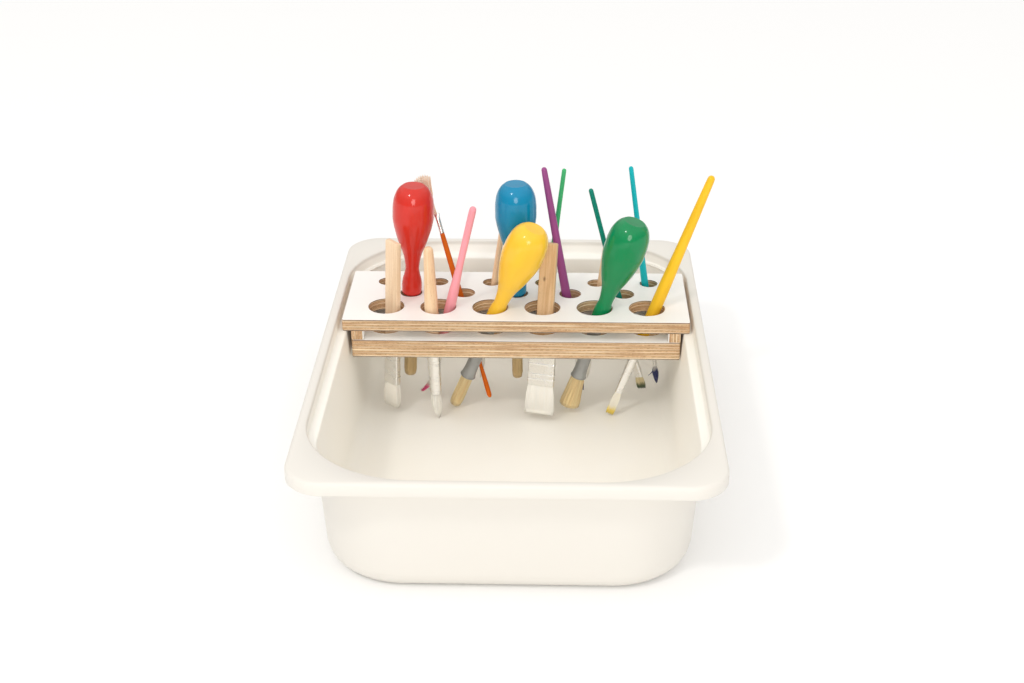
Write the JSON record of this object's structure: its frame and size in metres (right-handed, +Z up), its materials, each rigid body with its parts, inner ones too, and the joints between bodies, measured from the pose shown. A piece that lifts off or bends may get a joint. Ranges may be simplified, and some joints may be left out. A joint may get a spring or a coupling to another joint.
{
  "type": "tool storage caddy",
  "caption": "Shallow moulded storage tub with a two-board plywood brush rack on its inner ledge, holding upright paint brushes of mixed shapes",
  "frame": {"origin": "on the ground under the middle of the tub", "axes": "+X across the tub, +Y along the tub towards the rack, +Z up"},
  "size_m": [0.3061, 0.42, 0.2119],
  "materials": {
    "tub_plastic": "smooth moulded, satin gloss",
    "plywood": "birch plywood edge, white laminate faces",
    "zinc": "zinc plated",
    "nickel": "nickel plated, satin",
    "grey_ferrule": "grey satin",
    "bare_wood": "sanded, clear matt varnish",
    "white_hair": "soft synthetic filament",
    "cream_hair": "cream filament",
    "hog_hair": "stiff natural bristle",
    "red_gloss": "high gloss",
    "blue_gloss": "high gloss",
    "yellow_gloss": "high gloss",
    "green_gloss": "high gloss",
    "pink_lacquer": "satin lacquer",
    "yellow_lacquer": "satin lacquer",
    "orange_lacquer": "satin lacquer",
    "purple_lacquer": "satin lacquer",
    "light_green_lacquer": "satin lacquer",
    "teal_lacquer": "satin lacquer",
    "turquoise_lacquer": "satin lacquer"
  },
  "bodies": {
    "tub": {"tub": "tub_plastic"},
    "rack": {"upper_board": "plywood", "lower_board": "plywood", "left_spacer": "plywood", "right_spacer": "plywood", "screw_front_left": "zinc", "screw_back_left": "zinc", "screw_front_right": "zinc", "screw_back_right": "zinc"},
    "red_dabber": {"red_dabber_handle": "red_gloss", "red_dabber_ferrule": "grey_ferrule", "red_dabber_bristles": "hog_hair"},
    "blue_dabber": {"blue_dabber_handle": "blue_gloss", "blue_dabber_ferrule": "grey_ferrule", "blue_dabber_bristles": "hog_hair"},
    "yellow_dabber": {"yellow_dabber_handle": "yellow_gloss", "yellow_dabber_ferrule": "grey_ferrule", "yellow_dabber_bristles": "hog_hair"},
    "green_dabber": {"green_dabber_handle": "green_gloss", "green_dabber_ferrule": "grey_ferrule", "green_dabber_bristles": "hog_hair"},
    "natural_round": {"natural_round_handle": "bare_wood", "natural_round_ferrule": "nickel", "natural_round_bristles": "white_hair"},
    "pink_round": {"pink_round_handle": "pink_lacquer", "pink_round_ferrule": "nickel", "pink_round_bristles": "white_hair"},
    "purple_round": {"purple_round_handle": "purple_lacquer", "purple_round_ferrule": "nickel", "purple_round_bristles": "white_hair"},
    "plain_round_left": {"plain_round_left_handle": "bare_wood", "plain_round_left_ferrule": "nickel", "plain_round_left_bristles": "white_hair"},
    "light_green_round": {"light_green_round_handle": "light_green_lacquer", "light_green_round_ferrule": "nickel", "light_green_round_bristles": "white_hair"},
    "plain_round_right": {"plain_round_right_handle": "bare_wood", "plain_round_right_ferrule": "nickel", "plain_round_right_bristles": "white_hair"},
    "turquoise_round": {"turquoise_round_handle": "turquoise_lacquer", "turquoise_round_ferrule": "nickel", "turquoise_round_bristles": "white_hair"},
    "small_flat": {"small_flat_handle": "bare_wood", "small_flat_ferrule": "nickel", "small_flat_bristles": "cream_hair"},
    "wide_flat": {"wide_flat_handle": "bare_wood", "wide_flat_ferrule": "nickel", "wide_flat_bristles": "white_hair"},
    "long_yellow_flat": {"long_yellow_flat_handle": "yellow_lacquer", "long_yellow_flat_ferrule": "nickel", "long_yellow_flat_bristles": "white_hair"},
    "teal_flat": {"teal_flat_handle": "teal_lacquer", "teal_flat_ferrule": "nickel", "teal_flat_bristles": "hog_hair"},
    "orange_fan": {"orange_fan_handle": "orange_lacquer", "orange_fan_ferrule": "nickel", "orange_fan_bristles": "cream_hair"}
  },
  "joints": [
    {"name": "rack_slide", "type": "slide", "parent": "tub", "child": "rack", "axis": [0, -1, 0], "range_m": [0, 0.174]},
    {"name": "red_dabber_lift", "type": "slide", "parent": "rack", "child": "red_dabber", "axis": [0.0469, -0.01, 0.9988], "range_m": [0, 0.0787]},
    {"name": "blue_dabber_lift", "type": "slide", "parent": "rack", "child": "blue_dabber", "axis": [-0.008, -0.016, 0.9998], "range_m": [0, 0.0811]},
    {"name": "yellow_dabber_lift", "type": "slide", "parent": "rack", "child": "yellow_dabber", "axis": [0.3677, -0.1062, 0.9239], "range_m": [0, 0.1052]},
    {"name": "green_dabber_lift", "type": "slide", "parent": "rack", "child": "green_dabber", "axis": [0.288, -0.0402, 0.9568], "range_m": [0, 0.098]},
    {"name": "natural_round_lift", "type": "slide", "parent": "rack", "child": "natural_round", "axis": [-0.0289, 0.0658, 0.9974], "range_m": [0, 0.1]},
    {"name": "pink_round_lift", "type": "slide", "parent": "rack", "child": "pink_round", "axis": [0.2186, -0.1306, 0.9671], "range_m": [0, 0.091]},
    {"name": "purple_round_lift", "type": "slide", "parent": "rack", "child": "purple_round", "axis": [-0.1758, 0.0668, 0.9822], "range_m": [0, 0.0913]},
    {"name": "plain_round_left_lift", "type": "slide", "parent": "rack", "child": "plain_round_left", "axis": [0.1396, -0.0139, 0.9901], "range_m": [0, 0.0943]},
    {"name": "light_green_round_lift", "type": "slide", "parent": "rack", "child": "light_green_round", "axis": [0.1172, -0.005, 0.9931], "range_m": [0, 0.099]},
    {"name": "plain_round_right_lift", "type": "slide", "parent": "rack", "child": "plain_round_right", "axis": [0.1054, -0.0099, 0.9944], "range_m": [0, 0.0929]},
    {"name": "turquoise_round_lift", "type": "slide", "parent": "rack", "child": "turquoise_round", "axis": [-0.1415, 0.0119, 0.9899], "range_m": [0, 0.0967]},
    {"name": "small_flat_lift", "type": "slide", "parent": "rack", "child": "small_flat", "axis": [0.04, 0, 0.9992], "range_m": [0, 0.094]},
    {"name": "wide_flat_lift", "type": "slide", "parent": "rack", "child": "wide_flat", "axis": [0.053, 0.1864, 0.981], "range_m": [0, 0.0948]},
    {"name": "long_yellow_flat_lift", "type": "slide", "parent": "rack", "child": "long_yellow_flat", "axis": [0.3441, 0.0506, 0.9376], "range_m": [0, 0.1038]},
    {"name": "teal_flat_lift", "type": "slide", "parent": "rack", "child": "teal_flat", "axis": [-0.2516, -0.0087, 0.9678], "range_m": [0, 0.0929]},
    {"name": "orange_fan_lift", "type": "slide", "parent": "rack", "child": "orange_fan", "axis": [-0.2711, 0.2005, 0.9414], "range_m": [0, 0.0975]}
  ]
}
